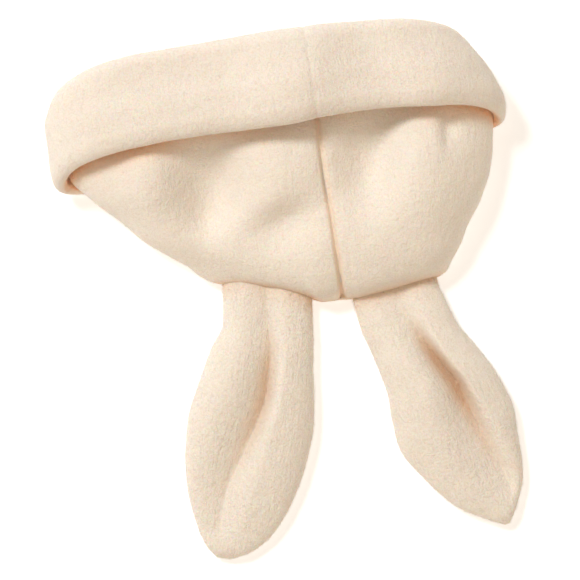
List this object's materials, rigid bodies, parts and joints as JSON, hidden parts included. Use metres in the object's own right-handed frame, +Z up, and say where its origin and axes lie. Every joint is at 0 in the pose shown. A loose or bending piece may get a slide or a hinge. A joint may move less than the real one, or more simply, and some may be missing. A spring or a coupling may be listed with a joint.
{
  "type": "baby hat with ears",
  "caption": "Soft cream baby hat with a turned-up cuff, a front seam and two long floppy ears, lying flat on its back.",
  "frame": {"origin": "on the surface that the hat lies on, straight under the front seam, near the middle of the crown", "axes": "+Y from the ears to the opening for the head, +X to the right of the front seam as seen from above, +Z up"},
  "size_m": [0.2148, 0.2433, 0.052],
  "materials": {
    "fleece": "napped, matt",
    "fleece_cuff": "napped, matt"
  },
  "bodies": {
    "root": {"crown_left": "fleece", "crown_right": "fleece", "cuff_left": "fleece_cuff", "cuff_right": "fleece_cuff", "ear_left_front": "fleece", "ear_left_back": "fleece", "ear_right_front": "fleece", "ear_right_back": "fleece"}
  },
  "joints": []
}
